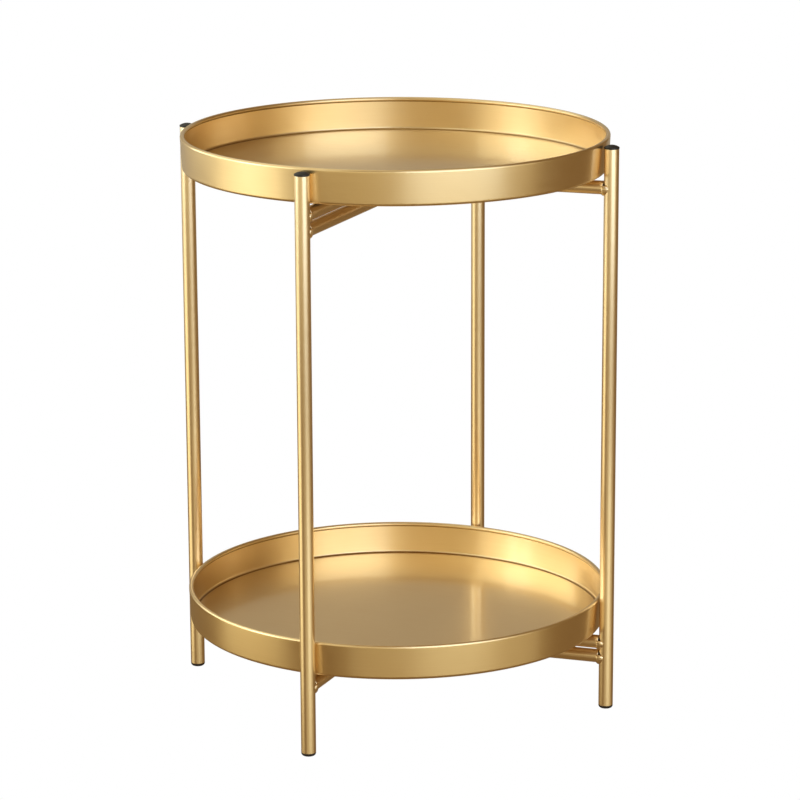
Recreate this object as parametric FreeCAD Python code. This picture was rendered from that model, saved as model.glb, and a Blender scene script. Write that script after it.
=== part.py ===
"""Round side table with two lift-off trays on a folding stand.

Four upright tubes make two leg frames, front to back and left to right.  The
frames cross under each tray, where a rivet pins them, so that the stand folds
flat like scissors about the vertical axis.  Each tier has one full bar per
frame.  The frame whose bar runs underneath carries two short stubs above it,
so that the tray stands level on all four legs' bars.

Units are millimetres.  The origin is on the floor, midway between the legs.
+Z is up and the front leg stands towards -Y.
"""
import FreeCAD, Part
import math
import os

# ---------------------------------------------------------------- dimensions
# Trays: pressed steel pans with a rolled rim
tray_diameter = 380.0       # outside, over the rim
tray_height = 31.0          # underside of the floor to the top of the rim
tray_sheet = 0.8            # sheet thickness
tray_taper = 3.0            # degrees that the wall leans outwards
tray_corner = 3.0           # outside bend radius between floor and wall
hem_diameter = 4.2          # rim rolled inwards, over the outside
hem_gap = 0.3               # between the rolled edge and the wall

# Legs
leg_diameter = 13.0
leg_wall = 0.9
leg_height = 511.2          # floor to the top end of the tube
leg_play = 0.9              # between a tray's rim and each leg
crossing_angle = 95.0       # front leg to right leg, as the stand is opened

# Where the trays stand
rim_above_leg = 5.3         # upper tray's rim over the ends of the leg tubes
lower_rim_height = 101.5    # floor to the lower tray's rim

# Bars and stubs between the legs
bar_diameter = 12.0
bar_wall = 0.9
stub_length = 100.0         # from the leg inwards

# Pivots where the bars cross
rivet_diameter = 6.0
rivet_head_diameter = 11.0
rivet_head_height = 2.0
rivet_hole_clearance = 0.05     # radial, in the bar that turns
pivot_play = 0.2                # along the rivet, at the bar that turns
washer_diameter = 14.0
washer_thickness = 1.1
washer_play = 0.3           # between the washer and the bar that it isn't on

# Rubber buffers that the trays stand on
buffer_diameter = 9.0
tray_over_rivet = 0.8       # between a rivet's head and the tray above it
buffer_inset = 24.0         # from the edge of the tray's flat floor
buffer_stem_diameter = 4.0
buffer_bulb_diameter = 5.2
buffer_bulb_length = 1.8
buffer_play = 0.2           # under the tray, on the frame that turns

# Black plastic plugs and feet
plug_overhang = 0.25        # of a plug's head over the tube's side
plug_edge = 1.3             # straight side of the head, over the tube's end
plug_crown = 2.0            # dome over that
plug_length = 12.0          # inside the tube
plug_wall = 1.2
rib_height = 0.5            # ribs that grip the bore
rib_width = 1.0
rib_pitch = 3.0
foot_band = 0.3             # straight side of a foot, under the tube's end
foot_edge = 2.5             # rounding below that

# Weld beads at the bar ends
bead_radius = 1.9
bead_start = 5.0            # degrees below the bar's axis
bead_sweep = 60.0

# ------------------------------------------------------------ derived places
leg_radius = leg_diameter / 2
bar_radius = bar_diameter / 2
hem_radius = hem_diameter / 2
leg_circle = tray_diameter / 2 + leg_play + leg_radius  # centre of a leg
bar_reach = leg_circle - leg_radius                     # a bar's end
bar_gap = washer_thickness + washer_play                # between stacked bars
bar_pitch = bar_diameter + bar_gap                      # between their axes
buffer_height = pivot_play + rivet_head_height + tray_over_rivet
foot_height = foot_band + foot_edge

upper_tray_z = leg_height + rim_above_leg - tray_height
lower_tray_z = lower_rim_height - tray_height
upper_bar_z = upper_tray_z - buffer_height - bar_radius
lower_bar_z = lower_tray_z - buffer_height - bar_radius

front, back = -90.0, 90.0
right = front + crossing_angle
left = right + 180.0

Z = FreeCAD.Vector(0, 0, 1)


def vec(x, y, z):
    return FreeCAD.Vector(x, y, z)


def outward(angle):
    """Unit vector from the table's axis towards a leg."""
    return vec(math.cos(math.radians(angle)), math.sin(math.radians(angle)), 0)


def at(angle, radius, z):
    return outward(angle) * radius + vec(0, 0, z)


def save(name, *solids):
    """Write one named piece, or a group of like pieces, to its own file."""
    shape = solids[0] if len(solids) == 1 else Part.makeCompound(list(solids))
    os.makedirs("parts", exist_ok=True)
    shape.exportStep("parts/" + name + ".step")


def arc(centre, radius, start, end):
    """Arc in the XZ plane, angles in radians from +X towards +Z."""
    points = []
    for turn in (start, (start + end) / 2, end):
        x = centre[0] + radius * math.cos(turn)
        z = centre[1] + radius * math.sin(turn)
        points.append(vec(x, 0, z))
    return Part.Arc(*points).toShape()


def crown(radius, base, rise):
    """Arc of a domed end, from its edge at the base height to the axis."""
    ball = (radius ** 2 + rise ** 2) / (2 * rise)
    middle = base + rise - ball
    return arc((0, middle), ball, math.asin((base - middle) / ball), math.pi / 2)


def turned(stations):
    """Solid turned about the Z axis.

    Its outline passes (radius, height) points and arcs in their order, with
    straight runs between them, and closes.
    """
    edges, starts, ends = [], [], []
    for station in stations:
        if isinstance(station, tuple):
            starts.append(vec(station[0], 0, station[1]))
            ends.append(starts[-1])
        else:
            edges.append(station)
            starts.append(station.Vertexes[0].Point)
            ends.append(station.Vertexes[-1].Point)
    for end, start in zip(ends, starts[1:] + starts[:1]):
        edges.append(Part.makeLine(end, start))
    face = Part.Face(Part.Wire(Part.__sortEdges__(edges)))
    return face.revolve(vec(0, 0, 0), Z, 360)


def rod(middle, direction, radius):
    """Solid rod through a point, longer than any piece that it is cut from."""
    length = 4 * bar_diameter
    return Part.makeCylinder(radius, length, middle - direction * (length / 2), direction)


# --------------------------------------------------------------------- trays
def tray_profile():
    """Where the tray's corner and rim lie, measured from its underside."""
    lean = math.radians(tray_taper)
    normal = (math.cos(lean), -math.sin(lean))
    hem = (tray_diameter / 2 - hem_radius, tray_height - hem_radius)
    touch = (hem[0] + hem_radius * normal[0], hem[1] + hem_radius * normal[1])
    reach = (math.sin(lean) * (tray_corner - touch[1]) - tray_corner) / math.cos(lean)
    corner = (touch[0] + reach, tray_corner)
    return lean, hem, corner


def tray(z):
    """Pan of one sheet: flat floor, bent corner, leaning wall, rolled rim."""
    lean, hem, corner = tray_profile()
    down = -math.pi / 2
    room = (hem_radius - tray_sheet - hem_gap) / hem_radius
    curl_end = 2 * math.pi - math.acos(room) - lean
    pan = turned([(0, 0),
                  arc(corner, tray_corner, down, -lean),
                  arc(hem, hem_radius, -lean, curl_end),
                  arc(hem, hem_radius - tray_sheet, curl_end, -lean),
                  arc(corner, tray_corner - tray_sheet, -lean, down),
                  (0, tray_sheet)])
    pan.translate(vec(0, 0, z))
    return pan


def floor_edge():
    """Radius where the tray's flat underside ends."""
    return tray_profile()[2][0]


# ------------------------------------------------------------ tubes and bars
def tube(start, direction, length, radius, wall):
    outer = Part.makeCylinder(radius, length, start, direction)
    return outer.cut(Part.makeCylinder(radius - wall, length, start, direction))


def leg(angle):
    foot = at(angle, leg_circle, foot_height)
    return tube(foot, Z, leg_height - foot_height, leg_radius, leg_wall)


def drill(shape, x_y, radius, low, high):
    """Vertical hole through a tube's wall."""
    start = vec(x_y.x, x_y.y, low)
    return shape.cut(Part.makeCylinder(radius, high - low, start, Z))


def full_bar(angle, z, hole_radius):
    """Bar from leg to leg, drilled for the rivet at its middle."""
    bar = tube(at(angle, -bar_reach, z), outward(angle), 2 * bar_reach,
               bar_radius, bar_wall)
    return drill(bar, vec(0, 0, 0), hole_radius, z - bar_diameter, z + bar_diameter)


def stub(angle, z):
    start = at(angle, bar_reach - stub_length, z)
    return tube(start, outward(angle), stub_length, bar_radius, bar_wall)


# ------------------------------------------------------------------- buffers
buffer_circle = floor_edge() - buffer_inset


def with_buffer_holes(bar, angles, z):
    """Drill the tops of a bar or stub for the buffers' stems."""
    for angle in angles:
        place = at(angle, buffer_circle, 0)
        bar = drill(bar, place, buffer_stem_diameter / 2, z, z + bar_diameter)
    return bar


def buffer(angle, z, play):
    """Push-in buffer: a head that saddles the bar, a stem and a bulb."""
    place = at(angle, buffer_circle, z)
    head_top = bar_radius + buffer_height - play
    head = Part.makeCylinder(buffer_diameter / 2, head_top, place, Z)
    head = head.cut(rod(place, outward(angle), bar_radius))
    bore_top = bar_radius - bar_wall
    stem_low = place + Z * (bore_top - buffer_bulb_length)
    stem = Part.makeCylinder(buffer_stem_diameter / 2,
                             bar_wall + buffer_bulb_length, stem_low, Z)
    bulb = Part.makeCone(buffer_stem_diameter / 2, buffer_bulb_diameter / 2,
                         buffer_bulb_length, stem_low, Z)
    bulb = bulb.common(rod(place, outward(angle), bore_top))
    return head.fuse([stem, bulb]).removeSplitter()


# ----------------------------------------------------------- plugs and feet
def ribbed_stem(bore_radius):
    """Outline (radius, depth) of a stem with gripping ribs, from its mouth inwards."""
    core = bore_radius - rib_height
    points = [(bore_radius, 0)]
    depth = rib_pitch
    while depth + rib_width < plug_length:
        points += [(core, depth), (bore_radius, depth), (core, depth + rib_width)]
        depth += rib_pitch
    return points + [(core, plug_length)]


def plug(tube_radius, wall):
    """Plug with a domed head that covers a tube's end, which is at z = 0."""
    bore_radius = tube_radius - wall
    head_radius = tube_radius + plug_overhang
    skirt = bore_radius - rib_height - plug_wall
    stem = [(radius, -depth) for radius, depth in ribbed_stem(bore_radius)]
    return turned([(0, 0), (skirt, 0), (skirt, -plug_length), *reversed(stem),
                   (head_radius, 0), crown(head_radius, plug_edge, plug_crown)])


def leg_plug(angle):
    cap = plug(leg_radius, leg_wall)
    cap.translate(at(angle, leg_circle, leg_height))
    return cap


def stub_plug(angle, z):
    """Plug in the inner end of a stub, facing the table's axis."""
    cap = plug(bar_radius, bar_wall)
    turn = FreeCAD.Rotation(Z, outward(angle) * -1)
    cap.Placement = FreeCAD.Placement(at(angle, bar_reach - stub_length, z), turn)
    return cap


def foot(angle):
    """Rounded foot under a leg, with a ribbed stem in the tube."""
    flat_radius = leg_radius - foot_edge
    rounding = arc((flat_radius, foot_edge), foot_edge, -math.pi / 2, 0)
    stem = [(radius, foot_height + depth)
            for radius, depth in ribbed_stem(leg_radius - leg_wall)]
    whole = turned([(0, 0), rounding, (leg_radius, foot_height), *stem,
                    (0, foot_height + plug_length)])
    whole.translate(at(angle, leg_circle, 0))
    return whole


# ----------------------------------------------------------- rivets, washers
def rivet(z_high, play_high, play_low):
    """Rivet through both bars at a crossing, headed above and below."""
    top = z_high + bar_radius + play_high
    bottom = z_high - bar_pitch - bar_radius - play_low
    shank = Part.makeCylinder(rivet_diameter / 2, top - bottom, vec(0, 0, bottom))
    head = turned([(0, 0), crown(rivet_head_diameter / 2, 0, rivet_head_height)])
    upper = head.translated(vec(0, 0, top))
    lower = head.mirror(vec(0, 0, 0), Z).translated(vec(0, 0, bottom))
    return shank.fuse([upper, lower]).removeSplitter()


def washer(z_high, on_high_bar):
    """Spacer between the crossing bars, seated on the bar that it rides on."""
    low = z_high - bar_radius - bar_gap
    if on_high_bar:
        low = z_high - bar_radius - washer_thickness
    disc = Part.makeCylinder(washer_diameter / 2, washer_thickness, vec(0, 0, low))
    hole = Part.makeCylinder(rivet_diameter / 2 + rivet_hole_clearance,
                             washer_thickness, vec(0, 0, low))
    return disc.cut(hole)


# --------------------------------------------------------------------- welds
def weld_beads(angle, z):
    """Two beads, one each side, where a bar's square end meets a round leg.

    A bead is a piece of a ring about the bar's axis with round ends, less the
    leg and the bar that it joins.
    """
    end = at(angle, bar_reach, z)
    inwards = outward(angle) * -1
    solid_leg = rod(at(angle, leg_circle, z), Z, leg_radius)
    solid_bar = Part.makeCylinder(bar_radius, bar_diameter, end, inwards)
    side = Z.cross(outward(angle))
    beads = []
    for hand in (1, -1):
        stops = []
        for step in (0, 0.5, 1):
            dip = math.radians(bead_start + step * bead_sweep)
            offset = side * (hand * math.cos(dip)) - Z * math.sin(dip)
            stops.append(end + offset * bar_radius)
        path = Part.Wire(Part.Arc(*stops).toShape())
        along = path.Edges[0].tangentAt(path.Edges[0].FirstParameter)
        ring = Part.makeCircle(bead_radius, stops[0], along)
        bead = path.makePipeShell([Part.Wire(ring)], True, True)
        for stop in (stops[0], stops[-1]):
            bead = bead.fuse(Part.makeSphere(bead_radius, stop))
        beads += bead.cut(solid_leg).cut(solid_bar).removeSplitter().Solids
    return beads


# ------------------------------------------------------------------ assembly
upper_low_z = upper_bar_z - bar_pitch
lower_low_z = lower_bar_z - bar_pitch
pressed = rivet_diameter / 2
turning = rivet_diameter / 2 + rivet_hole_clearance

save("upper_tray", tray(upper_tray_z))
save("lower_tray", tray(lower_tray_z))

for side_name, side_angle in (("front", front), ("back", back),
                              ("left", left), ("right", right)):
    save(side_name + "_leg", leg(side_angle))
    save(side_name + "_leg_plug", leg_plug(side_angle))
    save(side_name + "_foot", foot(side_angle))

# Front to back frame: low bar and stubs under the upper tray, and the bar
# that carries the lower tray.
save("upper_low_bar", full_bar(front, upper_low_z, pressed))
save("upper_front_stub", with_buffer_holes(stub(front, upper_bar_z), [front], upper_bar_z))
save("upper_back_stub", with_buffer_holes(stub(back, upper_bar_z), [back], upper_bar_z))
save("lower_high_bar",
     with_buffer_holes(full_bar(front, lower_bar_z, pressed), [front, back], lower_bar_z))

# Left to right frame: the bar that carries the upper tray, and the low bar
# and stubs under the lower tray.
save("upper_high_bar",
     with_buffer_holes(full_bar(right, upper_bar_z, turning), [left, right], upper_bar_z))
save("lower_low_bar", full_bar(right, lower_low_z, turning))
save("lower_left_stub", with_buffer_holes(stub(left, lower_bar_z), [left], lower_bar_z))
save("lower_right_stub", with_buffer_holes(stub(right, lower_bar_z), [right], lower_bar_z))

save("upper_stub_plugs", stub_plug(front, upper_bar_z), stub_plug(back, upper_bar_z))
save("lower_stub_plugs", stub_plug(left, lower_bar_z), stub_plug(right, lower_bar_z))

for tier, z in (("upper", upper_bar_z), ("lower", lower_bar_z)):
    save(tier + "_front_back_buffers", buffer(front, z, 0), buffer(back, z, 0))
    save(tier + "_left_right_buffers",
         buffer(left, z, buffer_play), buffer(right, z, buffer_play))

save("upper_front_back_welds", *weld_beads(front, upper_bar_z), *weld_beads(back, upper_bar_z),
     *weld_beads(front, upper_low_z), *weld_beads(back, upper_low_z))
save("lower_front_back_welds", *weld_beads(front, lower_bar_z), *weld_beads(back, lower_bar_z))
save("upper_left_right_welds", *weld_beads(left, upper_bar_z), *weld_beads(right, upper_bar_z))
save("lower_left_right_welds", *weld_beads(left, lower_bar_z), *weld_beads(right, lower_bar_z),
     *weld_beads(left, lower_low_z), *weld_beads(right, lower_low_z))

# The rivets are pressed in the front to back frame, and the other frame turns
# on them with a little end play.
save("upper_pivot_rivet", rivet(upper_bar_z, pivot_play, 0))
save("lower_pivot_rivet", rivet(lower_bar_z, 0, pivot_play))
save("upper_pivot_washer", washer(upper_bar_z, on_high_bar=False))
save("lower_pivot_washer", washer(lower_bar_z, on_high_bar=True))
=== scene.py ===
"""Looks of a round two-tier tray table in satin gold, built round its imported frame.

Lengths are in metres.  The frame's names say where each piece belongs: two leg
frames that fold about the vertical axis, and two pans that lift off them.
"""
import math

import bpy
import numpy as np
from mathutils import Matrix, Vector


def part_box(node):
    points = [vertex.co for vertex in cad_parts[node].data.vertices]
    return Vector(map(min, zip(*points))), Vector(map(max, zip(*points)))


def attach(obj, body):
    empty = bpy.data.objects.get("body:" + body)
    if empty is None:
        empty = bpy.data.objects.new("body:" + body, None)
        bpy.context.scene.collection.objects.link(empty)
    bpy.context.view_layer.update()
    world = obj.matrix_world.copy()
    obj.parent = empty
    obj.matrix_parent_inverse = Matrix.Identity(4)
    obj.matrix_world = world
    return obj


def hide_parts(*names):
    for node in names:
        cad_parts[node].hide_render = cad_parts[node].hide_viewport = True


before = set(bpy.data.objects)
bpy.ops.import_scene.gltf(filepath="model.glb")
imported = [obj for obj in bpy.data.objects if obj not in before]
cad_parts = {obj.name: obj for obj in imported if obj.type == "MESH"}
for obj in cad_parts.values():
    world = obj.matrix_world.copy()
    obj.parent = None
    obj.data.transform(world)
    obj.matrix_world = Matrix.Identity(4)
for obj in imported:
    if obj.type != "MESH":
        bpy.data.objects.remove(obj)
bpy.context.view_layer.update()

MM = 0.001

# ------------------------------------------------------------------ the legs
# Four uprights of 13 mm welded steel tube, cut square, deburred at both ends
# and lacquered gold.  Belt polishing before the lacquer leaves hair-fine
# scratches round the tube, which draw its highlights out along its length.
tube_wall = 0.9 * MM
tube_edge = 0.4 * MM            # rounding that deburring leaves on a cut end
tube_spans = 64                 # facets round it
rounding_steps = 6              # facets across a rounded edge
edge_support = 0.05 * MM        # keeps a rounded edge's shading off the flat


def rounded(corners):
    """Closed outline of (radius, height) points from corners (radius, height, rounding).

    Each corner's arc touches both of its sides, and one more point stands just
    outside each end of the arc.  A corner of no rounding stays a point.
    """
    corners = np.array(corners, float)
    points = []
    for before, here, after in zip(np.roll(corners, 1, 0), corners, np.roll(corners, -1, 0)):
        to_before, to_after = before[:2] - here[:2], after[:2] - here[:2]
        to_before /= np.linalg.norm(to_before)
        to_after /= np.linalg.norm(to_after)
        if here[2] == 0:
            points.append(here[:2][None])
            continue
        half = 0.5 * math.acos(np.clip(to_before @ to_after, -1, 1))
        reach = here[2] / math.tan(half)
        middle = here[:2] + (to_before + to_after) / np.linalg.norm(to_before + to_after) \
            * here[2] / math.sin(half)
        first = here[:2] + to_before * reach - middle
        last = here[:2] + to_after * reach - middle
        sweep = math.pi - 2 * half
        share = np.linspace(0, 1, rounding_steps + 1)[:, None]
        bend = middle + (np.sin((1 - share) * sweep) * first
                         + np.sin(share * sweep) * last) / math.sin(sweep)
        points += [bend[:1] + to_before * edge_support, bend,
                   bend[-1:] + to_after * edge_support]
    return np.concatenate(points)


def swung(outline, spans, axis=(0, 0, 1), start=(0, 0, 0), seam=(1, 0, 0)):
    """Points of a surface of revolution: at (turn, station) lies the outline's point
    of that station, its radius swung by the turn about the axis, from the seam,
    and its height along the axis."""
    axis, seam = np.array(axis, float), np.array(seam, float)
    turn = np.linspace(0, 2 * math.pi, spans, endpoint=False)[:, None, None]
    swing = np.cos(turn) * seam + np.sin(turn) * np.cross(axis, seam)
    return np.array(start) + swing * outline[:, :1] + outline[:, 1:2] * axis


def wrapped(name, points, outline, closed):
    """Mesh object from points at (turn, station) round an axis.

    The outline (radius, height) runs anticlockwise.  A closed one makes a ring,
    and another one starts and ends on the axis.  The UV map holds metres round
    the widest turn and along the outline.  A third column of the outline becomes
    a point attribute, from 0 to 1 where shade is painted into the creases.
    """
    spans, stations = points.shape[:2]
    number = np.arange(spans * stations).reshape(spans, stations)
    number[:, outline[:, 0] == 0] = number[:1, outline[:, 0] == 0]
    if closed:
        number = np.concatenate([number, number[:, :1]], 1)
        outline = np.concatenate([outline, outline[:1]])
    number = np.concatenate([number, number[:1]])
    corners = np.stack([number[:-1, :-1], number[1:, :-1], number[1:, 1:], number[:-1, 1:]], -1)

    round_it = np.linspace(0, 2 * math.pi * outline[:, 0].max(), spans + 1)
    step = np.linalg.norm(np.diff(outline[:, :2], axis=0), axis=1)
    along_it = np.concatenate([[0], np.cumsum(step)])
    place = np.stack(np.meshgrid(round_it, along_it, indexing="ij"), -1)
    uv = np.stack([place[:-1, :-1], place[1:, :-1], place[1:, 1:], place[:-1, 1:]], -2)
    piece = skin(name, points.reshape(-1, 3), corners.reshape(-1, 4), uv.reshape(-1, 4, 2))
    # Painted shade: the third column says how much darker the crease colour is.
    if outline.shape[1] > 2:
        painted_crease_shade = piece.data.attributes.new("painted_crease_shade", "FLOAT", "POINT")
        station = np.unique(number) % stations
        painted_crease_shade.data.foreach_set("value", outline[station, 2].astype(np.float32))
    return piece


def turned(name, outline, spans, closed=True, **places):
    """Mesh object of an outline swung all the way round an axis."""
    return wrapped(name, swung(outline, spans, **places), outline, closed)


def skin(name, points, corners, uv):
    """Mesh object from points, rows of four corner numbers and the corners' UV.
    A row that names a point twice in a row becomes a triangle."""
    keep = corners != np.roll(corners, 1, 1)
    used, corners = np.unique(corners, return_inverse=True)
    corners = corners.reshape(keep.shape)
    mesh = bpy.data.meshes.new(name)
    faces = [row[kept].tolist() for row, kept in zip(corners, keep)]
    mesh.from_pydata(points[used].tolist(), [], faces)
    mesh.uv_layers.new(name="metres").data.foreach_set("uv", uv[keep].astype(np.float32).ravel())
    mesh.shade_smooth()
    piece = bpy.data.objects.new(name, mesh)
    bpy.context.scene.collection.objects.link(piece)
    return piece


def linear(colour):
    """Linear RGBA of an sRGB hex colour."""
    channels = [int(colour[i:i + 2], 16) / 255 for i in (1, 3, 5)]
    return tuple(c / 12.92 if c <= 0.04045 else ((c + 0.055) / 1.055) ** 2.4
                 for c in channels) + (1.0,)


def node(tree, kind, settings=None, **inputs):
    """Adds a node with its settings.  An input is a value or another node's output,
    and its name has underscores for spaces, or is its number after an underscore."""
    made = tree.nodes.new(kind)
    for setting, value in (settings or {}).items():
        setattr(made, setting, value)
    for name, value in inputs.items():
        socket = made.inputs[int(name[1:])] if name[0] == "_" else made.inputs[name.replace("_", " ")]
        if isinstance(value, bpy.types.NodeSocket):
            tree.links.new(value, socket)
        else:
            socket.default_value = value
    return made


lacquer_cloud = 45 * MM         # between thinner and thicker lacquer
lacquer_peel = 1.4 * MM         # between the bumps of sprayed lacquer
peel_depth = 0.002 * MM
streak_band = (0.35, 0.65)      # noise that stands for a smooth land and a scratch


def gold_lacquer(name, tints, streak_length, streak_pitch, grain, anisotropic, smooth, scratched,
                 gloss, straight=False, painted_shade_tint=None):
    """Polished steel under tinted clear lacquer.

    The tints, where the lacquer is thinner and thicker, give the metal its warm
    gold, and the clear coat adds a whiter, sharper glint that grows at a glancing
    view.  Streaks of the given length and pitch follow the polishing, smooth lands
    between duller scratches, which widen each highlight into a soft glow.  They run
    round the piece, or straight along X as a roller leaves them.  Where the piece's
    point attribute asks for it, a darker tint is painted in as shade in the creases.
    """
    material = bpy.data.materials.new(name)
    material.use_nodes = True
    tree = material.node_tree
    tree.nodes.clear()
    metres = node(tree, "ShaderNodeUVMap", {"uv_map": "metres"}).outputs["UV"]
    place = node(tree, "ShaderNodeTexCoord").outputs["Object"]
    stretched = node(tree, "ShaderNodeMapping", Vector=place if straight else metres,
                     Scale=(1 / streak_length, 1 / streak_pitch, 1))
    streaks = node(tree, "ShaderNodeTexNoise", Vector=stretched.outputs[0], Scale=1.0,
                   Detail=3.0, Roughness=0.6)
    cloud = node(tree, "ShaderNodeTexNoise", Vector=place, Scale=1 / lacquer_cloud, Detail=2.0)
    peel = node(tree, "ShaderNodeTexNoise", Vector=place, Scale=1 / lacquer_peel, Detail=1.0)
    film = node(tree, "ShaderNodeMix", Factor=0.5, A=cloud.outputs["Fac"], B=streaks.outputs["Fac"])
    tint = node(tree, "ShaderNodeMix", {"data_type": "RGBA"}, Factor=film.outputs[0],
                _6=linear(tints[0]), _7=linear(tints[1]))
    tinted = tint.outputs[2]
    # Painted shade: the darker tint where the attribute marks a crease.
    if painted_shade_tint:
        painted_crease_shade = node(tree, "ShaderNodeAttribute", {"attribute_name": "painted_crease_shade"})
        tinted = node(tree, "ShaderNodeMix", {"data_type": "RGBA"}, Factor=painted_crease_shade.outputs["Fac"],
                      _6=tinted, _7=linear(painted_shade_tint)).outputs[2]
    polish = node(tree, "ShaderNodeMapRange", Value=streaks.outputs["Fac"],
                  From_Min=streak_band[0], From_Max=streak_band[1],
                  To_Min=smooth, To_Max=scratched)
    ridges = node(tree, "ShaderNodeBump", Height=streaks.outputs["Fac"], Strength=1.0,
                  Distance=grain)
    orange_peel = node(tree, "ShaderNodeBump", Height=peel.outputs["Fac"], Strength=1.0,
                       Distance=peel_depth)
    around = node(tree, "ShaderNodeTangent", {"direction_type": "UV_MAP", "uv_map": "metres"})
    shader = node(tree, "ShaderNodeBsdfPrincipled", Base_Color=tinted, Metallic=1.0,
                  Roughness=polish.outputs[0], Anisotropic=anisotropic,
                  Normal=ridges.outputs[0], Tangent=around.outputs[0], Coat_Weight=1.0,
                  Coat_Roughness=gloss, Coat_IOR=1.5, Coat_Normal=orange_peel.outputs[0])
    output = node(tree, "ShaderNodeOutputMaterial")
    tree.links.new(shader.outputs[0], output.inputs["Surface"])
    return material


# Belt-polished steel tube under gold lacquer: a narrow, even streak of light runs
# the whole length, with soft edges.  Its tints are paler than the trays': painted
# light that brightens the legs.  Real belt scratches lie under 0.1 mm apart, too
# fine to show, so they are drawn 0.5 mm apart.
tube_gold_with_painted_light = ("#FFEAC3", "#FADEB0")
tube_scratch_length, tube_scratch_pitch, tube_scratch_depth = 14 * MM, 0.5 * MM, 0.001 * MM
tube_finish = gold_lacquer("lacquered_polished_tube", tube_gold_with_painted_light, tube_scratch_length,
                           tube_scratch_pitch, tube_scratch_depth, anisotropic=0.3,
                           smooth=0.28, scratched=0.33, gloss=0.15)
legs = {"front": "front_back_frame", "back": "front_back_frame",
        "left": "left_right_frame", "right": "left_right_frame"}
leg_places = {}

for side, body in legs.items():
    low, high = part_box(side + "_leg")
    centre = (low + high) / 2
    radius = (high.x - low.x) / 2
    leg_places[side] = Vector((centre.x, centre.y, 0))
    outline = rounded([(radius - tube_wall, low.z, tube_edge), (radius, low.z, tube_edge),
                       (radius, high.z, tube_edge), (radius - tube_wall, high.z, tube_edge)])
    leg = turned(side + "_leg_tube", outline, tube_spans, start=leg_places[side],
                 seam=-leg_places[side].normalized())
    leg.data.materials.append(tube_finish)
    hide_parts(side + "_leg")
    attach(leg, body)
leg_radius = radius

# -------------------------------------------------------- the bars and stubs
# Four bars of 12 mm tube run from leg to leg, two under each tray, and cross at
# its middle.  Short stubs carry the tray level where a frame's bar is the lower
# one.  Their ends are cut square and stand against the round legs.
bar_wall = 0.9 * MM
bars = {"upper_low_bar": "front", "lower_high_bar": "front",
        "upper_high_bar": "right", "lower_low_bar": "right"}
stubs = {"upper_front_stub": "front", "upper_back_stub": "back",
         "lower_left_stub": "left", "lower_right_stub": "right"}
low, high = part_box("upper_front_stub")
stub_length = high.y - low.y
bar_reach = leg_places["front"].length - leg_radius
bar_radius = (high.z - low.z) / 2


def cross_tube(name, side, length):
    """Tube of that length from a leg inwards, at the height of its node."""
    low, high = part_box(name)
    outwards = leg_places[side].normalized()
    end = outwards * bar_reach + Vector((0, 0, (low.z + high.z) / 2))
    inner = bar_radius - bar_wall
    outline = rounded([(inner, 0, tube_edge), (bar_radius, 0, tube_edge),
                       (bar_radius, length, tube_edge), (inner, length, tube_edge)])
    tube = turned(name + "_tube", outline, tube_spans, axis=-outwards, start=end,
                  seam=(0, 0, -1))
    tube.data.materials.append(tube_finish)
    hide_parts(name)
    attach(tube, legs[side])


for name, side in bars.items():
    cross_tube(name, side, 2 * bar_reach)
for name, side in stubs.items():
    cross_tube(name, side, stub_length)

# ------------------------------------------------------------ the weld beads
# Gas-shielded steel welds under the lacquer, one bead down each side of a bar's
# end.  Each fills the gap between the square end and the round leg.  It is a row
# of overlapping puddles, so its back is rippled and its ends taper away.
bead_radius = 1.7 * MM
bead_start, bead_sweep = math.radians(-25), math.radians(95)
bead_bluntness = 6              # power of the taper: a higher one ends later
bead_ripples = 9
ripple_depth = 0.06             # of the bead's radius
swell_depth = 0.05              # of it too, where the welder's hand went slower
swell_pace, swell_shift = 7, 9  # radians along a bead, and per ripple of its shift
joint_shift, hand_shift = 0.37, 0.2     # in ripples, so that neighbouring beads differ
bead_stations, bead_spans = 129, 28
welds = {"upper_front_back_welds": (("upper_front_stub", "front"), ("upper_back_stub", "back"),
                                    ("upper_low_bar", "front"), ("upper_low_bar", "back")),
         "lower_front_back_welds": (("lower_high_bar", "front"), ("lower_high_bar", "back")),
         "upper_left_right_welds": (("upper_high_bar", "left"), ("upper_high_bar", "right")),
         "lower_left_right_welds": (("lower_left_stub", "left"), ("lower_right_stub", "right"),
                                    ("lower_low_bar", "left"), ("lower_low_bar", "right"))}


def bead_grid(end, outwards, hand, phase):
    """Points of one bead on a grid: an ellipse carried along an arc about the bar.

    At (way, turn) the arc has dipped by start + way * sweep below the bar's axis.
    The gap there is the leg's radius less the root of its square less the sideways
    reach squared.  The ellipse stands in the middle of the gap, and is half the gap
    wider along the bar than across it.  Across, its radius is the bead's, times a
    half ellipse that closes both ends, times one less the ripple, a rectified sine
    of the way, times a slow swell, one more sine of it.
    """
    way = np.linspace(0, 1, bead_stations)
    dip = bead_start + way * bead_sweep
    side = np.cross((0, 0, 1), outwards)
    spoke = np.cos(dip)[:, None] * side * hand - np.sin(dip)[:, None] * np.array((0, 0, 1))
    taper = np.clip(1 - np.abs(2 * way - 1) ** bead_bluntness, 0, 1) ** 0.5
    ripple = 1 - ripple_depth * np.abs(np.sin(math.pi * (bead_ripples * way + phase)))
    swell = 1 + swell_depth * np.sin(swell_pace * way + swell_shift * phase)
    size = (bead_radius * taper * ripple * swell)[:, None, None]
    turn = np.linspace(0, 2 * math.pi, bead_spans, endpoint=False)[None, :, None]
    gap = leg_radius - np.sqrt(leg_radius ** 2 - (bar_radius * np.cos(dip)) ** 2)
    half_gap = (0.5 * gap * taper)[:, None, None]
    along = np.array(outwards)
    ring = np.cos(turn) * spoke[:, None] * size + np.sin(turn) * along * hand * (size + half_gap)
    return np.array(end) + spoke[:, None] * bar_radius + half_gap * along + ring


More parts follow.
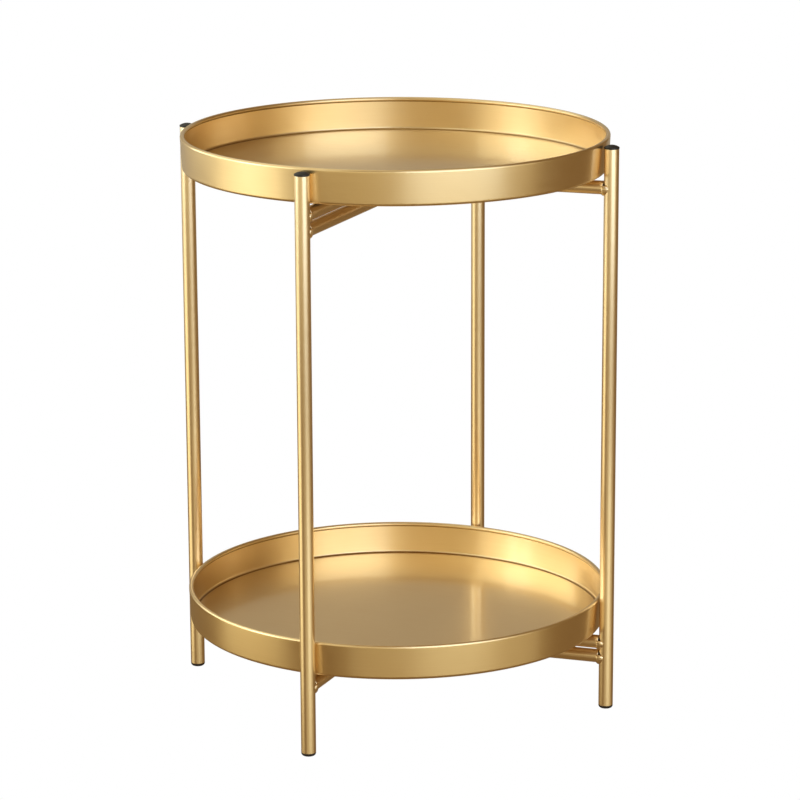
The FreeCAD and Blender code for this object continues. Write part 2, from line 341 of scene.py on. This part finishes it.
for name, joints in welds.items():
    grids = []
    for count, (tube, side) in enumerate(joints):
        low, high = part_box(tube)
        outwards = leg_places[side].normalized()
        end = outwards * bar_reach + Vector((0, 0, (low.z + high.z) / 2))
        grids += [bead_grid(end, outwards, hand, joint_shift * count + hand_shift * hand)
                  for hand in (1, -1)]
    points = np.stack(grids)
    number = np.arange(points[..., 0].size).reshape(points.shape[:3])
    number[:, 0], number[:, -1] = number[:, 0, :1], number[:, -1, :1]
    number = np.concatenate([number, number[:, :, :1]], 2)
    corners = np.stack([number[:, :-1, :-1], number[:, :-1, 1:], number[:, 1:, 1:],
                        number[:, 1:, :-1]], -1).reshape(-1, 4)
    way, turn = np.meshgrid(np.linspace(0, bead_sweep * bar_radius, bead_stations),
                            np.linspace(0, 2 * math.pi * bead_radius, bead_spans + 1),
                            indexing="ij")
    place = np.stack([turn, way], -1)
    uv = np.stack([place[:-1, :-1], place[:-1, 1:], place[1:, 1:], place[1:, :-1]], -2)
    uv = np.tile(uv.reshape(-1, 4, 2), (len(grids), 1, 1))
    beads = skin(name + "_beads", points.reshape(-1, 3), corners, uv)
    beads.data.materials.append(tube_finish)
    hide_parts(name)
    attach(beads, legs[joints[0][1]])

# ---------------------------------------------------------------- the pivots
# Where a tier's bars cross, a solid steel rivet with low domed heads pins them.
# It is set cold and lacquered with the stand.  A black nylon washer round it
# keeps the bars apart, so that the frames fold without scraping.
rivet_shank = 3.0 * MM          # radius
rivet_head = 2.0 * MM           # height
rivet_edge = 0.3 * MM
rivet_spans = 48
dome_steps = 14
washer_hole = 3.05 * MM         # radius
washer_edge = 0.25 * MM


def dome(radius, base, rise, edge):
    """Corners (radius, height, rounding) of a domed end, from its edge to the axis.

    They lie on a ball: the angle from the axis shrinks evenly, the radius is its
    sine and the height its cosine.  Only the edge is rounded.
    """
    ball = (radius ** 2 + rise ** 2) / (2 * rise)
    angle = np.linspace(math.asin(radius / ball), 0, dome_steps)
    height = base + rise - ball + ball * np.cos(angle)
    rounding = np.where(angle == angle[0], edge, 0)
    return np.stack([ball * np.sin(angle), height, rounding], -1)


handled_patch = 6 * MM
handled_shine = 0.08            # less roughness where handled, and more where not


def moulded_polymer(name, fresh, handled, texture, depth, roughness, ior):
    """Black polymer with the fine even texture of its mould, at a pitch and depth.

    The texture scatters its gloss into a soft sheen, and paler, shinier patches
    show where it was handled.
    """
    material = bpy.data.materials.new(name)
    material.use_nodes = True
    tree = material.node_tree
    tree.nodes.clear()
    place = node(tree, "ShaderNodeTexCoord").outputs["Object"]
    grain = node(tree, "ShaderNodeTexVoronoi", {"feature": "SMOOTH_F1"}, Vector=place,
                 Scale=1 / texture)
    patches = node(tree, "ShaderNodeTexNoise", Vector=place, Scale=1 / handled_patch,
                   Detail=4.0)
    tone = node(tree, "ShaderNodeMix", {"data_type": "RGBA"}, Factor=patches.outputs["Fac"],
                _6=linear(fresh), _7=linear(handled))
    sheen = node(tree, "ShaderNodeMapRange", Value=patches.outputs["Fac"],
                 To_Min=roughness + handled_shine, To_Max=roughness - handled_shine)
    pits = node(tree, "ShaderNodeBump", Height=grain.outputs["Distance"], Strength=1.0,
                Distance=depth)
    shader = node(tree, "ShaderNodeBsdfPrincipled", Base_Color=tone.outputs[2],
                  Roughness=sheen.outputs[0], IOR=ior, Normal=pits.outputs[0])
    output = node(tree, "ShaderNodeOutputMaterial")
    tree.links.new(shader.outputs[0], output.inputs["Surface"])
    return material


# Cold-set steel rivet under the stand's lacquer: the setting tool leaves its head
# duller than the tubes, with short marks that are drawn three times as coarse as
# real ones, to show.
rivet_mark_length, rivet_mark_pitch, rivet_mark_depth = 3 * MM, 0.6 * MM, 0.002 * MM
# The rivet takes the tubes' paler tints, with their painted light.
rivet_finish = gold_lacquer("lacquered_set_rivet", tube_gold_with_painted_light, rivet_mark_length, rivet_mark_pitch,
                            rivet_mark_depth, anisotropic=0.0, smooth=0.28, scratched=0.4,
                            gloss=0.15)
# Injection-moulded nylon: a deep, even satin black.  Its texture is drawn several
# times as coarse as the real 0.1 mm, to show.
washer_finish = moulded_polymer("moulded_nylon", fresh="#151515", handled="#1E1E1F",
                                texture=0.5 * MM, depth=0.01 * MM, roughness=0.5, ior=1.53)
for tier in ("upper", "lower"):
    low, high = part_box(tier + "_pivot_rivet")
    radius = (high.x - low.x) / 2
    top, bottom = high.z - rivet_head, low.z + rivet_head
    outline = rounded([*dome(radius, bottom, -rivet_head, rivet_edge)[::-1],
                       (rivet_shank, bottom, 0), (rivet_shank, top, 0),
                       *dome(radius, top, rivet_head, rivet_edge)])
    rivet = turned(tier + "_pivot_rivet_body", outline, rivet_spans, closed=False)
    rivet.data.materials.append(rivet_finish)
    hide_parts(tier + "_pivot_rivet")
    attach(rivet, "front_back_frame")

    low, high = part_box(tier + "_pivot_washer")
    outline = rounded([(washer_hole, low.z, washer_edge), (high.x, low.z, washer_edge),
                       (high.x, high.z, washer_edge), (washer_hole, high.z, washer_edge)])
    washer = turned(tier + "_pivot_washer_ring", outline, rivet_spans)
    washer.data.materials.append(washer_finish)
    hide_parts(tier + "_pivot_washer")
    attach(washer, "front_back_frame")

# -------------------------------------------------------- the plugs and feet
# Black polythene, moulded with a fine spark-eroded texture.  Each is pushed
# into a tube's end and holds there by ribs round its stem.  A plug's domed head
# covers the end, and a foot's rounded pad stands on the floor.
plug_edge = 1.3 * MM            # straight side of a head
plug_wall = 1.2 * MM
plug_length = 12.0 * MM         # inside the tube
rib_height, rib_width, rib_pitch = 0.5 * MM, 1.0 * MM, 3.0 * MM
gate_radius, gate_depth = 0.9 * MM, 0.12 * MM   # dimple where the mould was filled
moulded_edge = 0.3 * MM
foot_band = 0.3 * MM            # straight side of a foot, above its rounding


def ribbed_stem(bore):
    """Corners (radius, depth) of a stem with gripping ribs, from its mouth inwards."""
    depth = np.arange(rib_pitch, plug_length - rib_width, rib_pitch)
    core = np.full_like(depth, bore - rib_height)
    ribs = np.stack([core, depth, core + rib_height, depth, core, depth + rib_width], -1)
    return np.concatenate([[(bore, 0)], ribs.reshape(-1, 2), [(bore - rib_height, plug_length)]])


def plug_outline(bore, head, rise):
    """Outline of a hollow plug for a tube's end at height 0, with a head of that radius."""
    skirt = bore - rib_height - plug_wall
    stem = ribbed_stem(bore)[::-1]
    stem = np.stack([stem[:, 0], -stem[:, 1], 0 * stem[:, 0]], -1)
    crown = dome(head, plug_edge, rise - plug_edge, moulded_edge)
    crown = crown[crown[:, 0] > gate_radius + moulded_edge]
    return rounded([(0, 0, 0), (skirt, 0, 0), (skirt, -plug_length, 0), *stem,
                    (head, 0, moulded_edge / 2), *crown, (gate_radius, crown[-1, 1], 0),
                    (gate_radius, rise - gate_depth, 0), (0, rise - gate_depth, 0)])


# Spark-eroded mould texture on polythene: a soft, slightly waxy black sheen.  A
# foot is scuffed by the floor, so it is greyer and duller.  The texture is drawn
# about twice as coarse as the real one, to show.
erosion_pitch, erosion_depth = 0.45 * MM, 0.012 * MM
moulded_finish = moulded_polymer("moulded_polythene", fresh="#17171A", handled="#232328",
                                 texture=erosion_pitch, depth=erosion_depth, roughness=0.5, ior=1.51)
scuffed_finish = moulded_polymer("scuffed_polythene", fresh="#17171A", handled="#34343A",
                                 texture=erosion_pitch, depth=erosion_depth, roughness=0.55, ior=1.51)
for side, body in legs.items():
    low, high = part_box(side + "_leg_plug")
    tube_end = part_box(side + "_leg")[1].z
    plug_rise = high.z - tube_end
    outline = plug_outline(leg_radius - tube_wall, (high.x - low.x) / 2, plug_rise)
    plug = turned(side + "_leg_plug_cap", outline, rivet_spans, closed=False,
                  start=leg_places[side] + Vector((0, 0, tube_end)))
    plug.data.materials.append(moulded_finish)
    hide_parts(side + "_leg_plug")
    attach(plug, body)

    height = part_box(side + "_leg")[0].z
    edge = height - foot_band
    stem = ribbed_stem(leg_radius - tube_wall)
    stem = np.stack([stem[:, 0], height + stem[:, 1], 0 * stem[:, 0]], -1)
    outline = rounded([(0, 0, 0), (leg_radius, 0, edge), (leg_radius, height, foot_band / 2), *stem,
                       (0, height + plug_length, 0)])
    foot = turned(side + "_foot_pad", outline, rivet_spans, closed=False, start=leg_places[side])
    foot.data.materials.append(scuffed_finish)
    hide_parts(side + "_foot")
    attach(foot, body)

stub_plugs = {"upper_stub_plugs": ("front", "back"), "lower_stub_plugs": ("left", "right")}
for name, sides in stub_plugs.items():
    low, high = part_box(name)
    middle = Vector((0, 0, (low.z + high.z) / 2))
    outline = plug_outline(bar_radius - bar_wall, (high.z - low.z) / 2, plug_rise)
    for side in sides:
        outwards = leg_places[side].normalized()
        plug = turned(f"{name}_{side}_cap", outline, rivet_spans, closed=False, axis=-outwards,
                      start=middle + outwards * (bar_reach - stub_length), seam=(0, 0, 1))
        plug.data.materials.append(moulded_finish)
        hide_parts(name)
        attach(plug, legs[side])

# --------------------------------------------------------------- the buffers
# Eight black rubber buffers carry the trays clear of the rivets.  Each is a
# moulded disc that saddles its round bar, with a stem that is pushed through
# the bar's top wall and swells under it.
buffer_edge = 0.5 * MM
buffer_stem, buffer_bulb = 2.0 * MM, 2.6 * MM       # radii
buffer_bulb_length = 1.8 * MM
buffer_spans = 48
buffers = {"upper_front_back_buffers": ("upper_front_stub", ("front", "back")),
           "upper_left_right_buffers": ("upper_high_bar", ("left", "right")),
           "lower_front_back_buffers": ("lower_high_bar", ("front", "back")),
           "lower_left_right_buffers": ("lower_left_stub", ("left", "right"))}
low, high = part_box("upper_front_back_buffers")
buffer_radius = (high.x - low.x) / 2
buffer_circle = high.y - buffer_radius


def saddled(outline, place, along):
    """Points of a buffer: its outline swung round its upright axis, from the bar's way.

    Below the head's top edge each height drops by what a round bar drops at that
    point: its radius less the root of its radius squared less the sideways reach
    squared.
    """
    points = swung(outline, buffer_spans, start=place, seam=along)
    turn = np.linspace(0, 2 * math.pi, buffer_spans, endpoint=False)
    reach = np.sin(turn)[:, None] * outline[:, 0]
    drop = bar_radius - np.sqrt(bar_radius ** 2 - reach ** 2)
    points[..., 2] -= np.where(outline[:, 1] < bar_radius + buffer_edge, drop, 0)
    return points


# Moulded rubber: matt and dusty, the dullest black on the table.  Its grain is drawn
# about three times as coarse as the real one, to show.
buffer_finish = moulded_polymer("moulded_rubber", fresh="#171716", handled="#242423",
                                texture=0.7 * MM, depth=0.02 * MM, roughness=0.75, ior=1.52)
for name, (bar, sides) in buffers.items():
    low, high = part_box(bar)
    bar_height = (low.z + high.z) / 2
    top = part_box(name)[1].z - bar_height
    bore_top = bar_radius - bar_wall
    outline = rounded([(0, bore_top - buffer_bulb_length, 0),
                       (buffer_stem, bore_top - buffer_bulb_length, 0),
                       (buffer_bulb, bore_top, 0), (buffer_stem, bore_top, 0),
                       (buffer_stem, bar_radius, 0), (buffer_radius, bar_radius, 0),
                       (buffer_radius, top, buffer_edge), (0, top, 0)])
    for side in sides:
        along = leg_places[side].normalized()
        place = along * buffer_circle + Vector((0, 0, bar_height))
        head = wrapped(f"{name}_{side}_head", saddled(outline, place, along), outline, False)
        head.data.materials.append(buffer_finish)
        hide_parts(name)
        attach(head, legs[side])

# ----------------------------------------------------------------- the trays
# Two pans pressed from 0.8 mm steel sheet: a flat floor, a tight bend, a wall
# that leans 3 degrees outwards and a rim rolled inwards over 4 mm.  They are
# brushed round the wall and lacquered like the stand.
sheet = 0.8 * MM
wall_lean = math.radians(3)
corner_radius = 3.0 * MM
hem_radius = 2.1 * MM
hem_gap = 0.3 * MM
painted_shade_width = 1.2 * MM            # of the painted shade beside a corner
hem_painted_shade = (0.6, 0), (0.78, 1)   # share of the way round the rim, share of painted shade
foot_painted_shade = (0.4, 0), (0.8, 1)   # the same, down the bend at the wall's foot
tray_spans = 360
bend_steps = 12                  # facets across the floor's bend
hem_steps = 40                   # facets round the rolled rim


def bend(middle, radius, start, end, steps):
    """Arc of (radius, height) points about a middle, with a support outside each end."""
    turn = np.linspace(start, end, steps + 1)
    arc = np.array(middle) + radius * np.stack([np.cos(turn), np.sin(turn)], -1)
    way = math.copysign(edge_support, end - start)
    before = arc[:1] - way * np.array((-math.sin(start), math.cos(start)))
    after = arc[-1:] + way * np.array((-math.sin(end), math.cos(end)))
    return np.concatenate([before, arc, after])


def graded(points, *stops):
    """Points with a third column: 0 to 1 between the stops (share of the way, value)."""
    share = np.linspace(0, 1, len(points))
    return np.column_stack([points, np.interp(share, *zip(*stops))])


def tray_outline(top_radius, height):
    """Outline of a pan from the axis out under its floor, up, round the rim and back.

    The wall's outside is the line that touches both the bend's and the rim's arc.
    The rim's sheet curls until its edge is a gap away from the wall.  Its cut edge
    is half a circle, less the end points that the sheet's two faces have already.
    The third column grows under the rim and at the foot of the wall inside: there
    shade is painted into the creases.
    """
    normal = np.array((math.cos(wall_lean), -math.sin(wall_lean)))
    hem = np.array((top_radius - hem_radius, height - hem_radius))
    touch = hem + hem_radius * normal
    reach = (math.sin(wall_lean) * (corner_radius - touch[1]) - corner_radius) / normal[0]
    corner = (touch[0] + reach, corner_radius)
    room = (hem_radius - sheet - hem_gap) / hem_radius
    curl = 2 * math.pi - math.acos(room) - wall_lean
    down = -math.pi / 2
    middle = hem + (hem_radius - sheet / 2) * np.array((math.cos(curl), math.sin(curl)))
    under_hem = bend(hem, hem_radius - sheet, curl, -wall_lean, hem_steps)
    foot = bend(corner, corner_radius - sheet, -wall_lean, down, bend_steps)
    downwards = (foot[0] - under_hem[-1]) / np.linalg.norm(foot[0] - under_hem[-1])
    return np.concatenate([
        [(0, 0, 0)],
        graded(bend(corner, corner_radius, down, -wall_lean, bend_steps), (0, 0)),
        graded(bend(hem, hem_radius, -wall_lean, curl, hem_steps), *hem_painted_shade),
        graded(bend(middle, sheet / 2, curl, curl + math.pi, rounding_steps)[2:-2], (0, 1)),
        graded(under_hem, (0, 1)),
        graded(under_hem[-1:] + painted_shade_width * downwards, (0, 0)),
        graded(foot, *foot_painted_shade),
        graded(foot[-1:] - (painted_shade_width, 0), (0, 0)),
        [(0, sheet, 0)]])


# Brushed steel sheet under gold lacquer: the wall's brush marks run round it and
# spread its highlights into wide soft bands.  The floor keeps the straight, fainter
# marks of the rolling mill and mirrors a little more.  Both kinds lie about 0.1 mm
# apart, too fine to show, so they are drawn 0.7 and 0.9 mm apart.
# The dark brown is painted shade for the creases under the rim and at the wall's foot.
sheet_gold, painted_shade_gold = ("#FCE3B1", "#F3D39B"), "#8F642C"
mark_length = 60 * MM
brush_pitch, brush_depth = 0.7 * MM, 0.002 * MM
mill_pitch, mill_depth = 0.9 * MM, 0.0015 * MM
wall_finish = gold_lacquer("lacquered_brushed_sheet", sheet_gold, mark_length, brush_pitch,
                           brush_depth, anisotropic=0.0, smooth=0.28, scratched=0.36, gloss=0.12,
                           painted_shade_tint=painted_shade_gold)
floor_finish = gold_lacquer("lacquered_rolled_sheet", sheet_gold, mark_length, mill_pitch,
                            mill_depth, anisotropic=0.0, smooth=0.28, scratched=0.34, gloss=0.12,
                            straight=True, painted_shade_tint=painted_shade_gold)
for name in ("upper_tray", "lower_tray"):
    low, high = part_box(name)
    outline = tray_outline(high.x, high.z - low.z) + np.array((0, low.z, 0))
    pan = turned(name + "_pan", outline, tray_spans, closed=False)
    pan.data.materials.append(wall_finish)
    pan.data.materials.append(floor_finish)
    centre = np.empty(3 * len(pan.data.polygons), np.float32)
    pan.data.polygons.foreach_get("center", centre)
    flat = np.hypot(*centre.reshape(-1, 3)[:, :2].T) < outline[1, 0] - edge_support
    pan.data.polygons.foreach_set("material_index", flat.astype(np.int32))
    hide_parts(name)
    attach(pan, name)

# ---------------------------------------------------------------- the studio
# The table stands on a white paper sweep inside a ring of large softboxes, seen
# through a long lens.  Between the softboxes the room is dim and warm.
middle = Vector((0, 0, 0.26))                # of the table
camera_distance = 3.04
camera_azimuth, camera_elevation = 23.2, 14.6            # degrees
camera_nod, camera_lean, camera_pan = 0.21, -0.28, -0.06    # degrees off the middle
sensor_width = 36.0                          # mm, as Blender has it
focal_pixels, frame_pixels = 3370, 800
nearest, farthest = 0.1, 100                 # that the camera sees


def direction(azimuth, elevation):
    """Unit vector that points so many degrees round from the front, and up."""
    azimuth, elevation = math.radians(azimuth), math.radians(elevation)
    return Vector((math.sin(azimuth) * math.cos(elevation),
                   -math.cos(azimuth) * math.cos(elevation), math.sin(elevation)))


camera = bpy.data.objects.new("camera", bpy.data.cameras.new("camera"))
bpy.context.scene.collection.objects.link(camera)
bpy.context.scene.camera = camera
camera.data.sensor_width = sensor_width
camera.data.lens = focal_pixels / frame_pixels * sensor_width
camera.data.clip_start, camera.data.clip_end = nearest, farthest
backwards = direction(camera_azimuth, camera_elevation)
facing = backwards.to_track_quat("Z", "Y").to_matrix()
for turn, axis in ((camera_pan, "Y"), (camera_nod, "X"), (camera_lean, "Z")):
    facing = facing @ Matrix.Rotation(math.radians(turn), 3, axis)
camera.matrix_world = Matrix.LocRotScale(middle + backwards * camera_distance,
                                         facing.to_quaternion(), None)

# Lamps behind cloth, and cards that pass some of their light on.  Where two lie in
# the same direction their light adds up.
panel_distance = 1.6
panel_step = 0.01               # each stands this much behind the one before
panel_facet, panel_rows = 5, 5  # degrees across one facet, and points up
full_strength = 1.6
daylight, white_cloth, cream_card = "#D4E8FF", "#F8FFF0", "#FFF8CC"
panels = {          # degrees to the camera's right, degrees up, stops under full, colour
    "left_softbox": ((-130, -50), (0, 30), 0, white_cloth),
    "left_strip": ((-85, -70), (0, 25), -0.5, daylight),
    "left_card": ((-105, -60), (-25, -5), 0.5, cream_card),
    "right_softbox": ((5, 55), (-5, 60), 0, daylight),
    "right_card": ((10, 50), (-25, -15), 1, white_cloth),
    "front_scrim": ((-45, 75), (-5, 30), 1.5, cream_card),
    "front_card": ((-25, 80), (-30, -15), 2, cream_card),
    "boom_softbox": ((-180, -30), (35, 65), 1, white_cloth),
    "back_wall": ((-210, -50), (-10, 30), 3, white_cloth),
    "ceiling": ((-180, 180), (65, 90), 2, cream_card),
}


def panel(name, azimuths, elevations, distance, strength, colour):
    """Curved light panel that the camera doesn't see: a patch of a ball about the
    table between those angles.  It glows and lets the other panels' light through."""
    points_across = 1 + round((azimuths[1] - azimuths[0]) / panel_facet)
    across = np.radians(np.linspace(*azimuths, points_across))[:, None]
    upward = np.radians(np.linspace(*elevations, panel_rows))[None]
    across = across + math.radians(camera_azimuth)
    points = np.array(middle) + distance * np.stack([
        np.sin(across) * np.cos(upward), -np.cos(across) * np.cos(upward),
        np.sin(upward) + 0 * across], -1)
    number = np.arange(points[..., 0].size).reshape(points.shape[:2])
    corners = np.stack([number[:-1, :-1], number[:-1, 1:], number[1:, 1:], number[1:, :-1]], -1)
    corners = corners.reshape(-1, 4)
    glow = skin(name, points.reshape(-1, 3), corners, np.zeros((len(corners), 4, 2)))
    material = bpy.data.materials.new(name)
    material.use_nodes = True
    tree = material.node_tree
    tree.nodes.clear()
    light = node(tree, "ShaderNodeEmission", Color=linear(colour), Strength=strength)
    through = node(tree, "ShaderNodeBsdfTransparent")
    both = node(tree, "ShaderNodeAddShader", _0=light.outputs[0], _1=through.outputs[0])
    output = node(tree, "ShaderNodeOutputMaterial")
    tree.links.new(both.outputs[0], output.inputs["Surface"])
    glow.data.materials.append(material)
    glow.visible_camera = glow.visible_shadow = False


for count, (name, (azimuths, elevations, stops, colour)) in enumerate(panels.items()):
    distance = panel_distance + panel_step * count
    panel(name, azimuths, elevations, distance, full_strength / 2 ** stops, colour)

room_colour, room_strength = "#FFCC88", 0.2
world = bpy.data.worlds.new("studio")
bpy.context.scene.world = world
world.use_nodes = True
room = world.node_tree.nodes["Background"]
room.inputs["Color"].default_value = linear(room_colour)
room.inputs["Strength"].default_value = room_strength

# Evenly lit matt white paper: it reads as plain white without edge or shadow.
# Only the camera sees it, so that it doesn't wash the gold out.
sweep_radius, sweep_bend, sweep_spans = 15.0, 6.0, 72
sweep = turned("paper_sweep", rounded([(0, 0, 0), (sweep_radius, 0, sweep_bend),
                                       (sweep_radius, sweep_radius, sweep_bend),
                                       (0, sweep_radius, 0)]), sweep_spans, closed=False)
paper = bpy.data.materials.new("lit_white_paper")
paper.use_nodes = True
paper.node_tree.nodes.clear()
paper_shader = node(paper.node_tree, "ShaderNodeEmission")
paper_output = node(paper.node_tree, "ShaderNodeOutputMaterial")
paper.node_tree.links.new(paper_shader.outputs[0], paper_output.inputs["Surface"])
sweep.data.materials.append(paper)
sweep.visible_diffuse = sweep.visible_glossy = False
sweep.visible_transmission = sweep.visible_shadow = False

bpy.context.scene.view_settings.view_transform = "Standard"
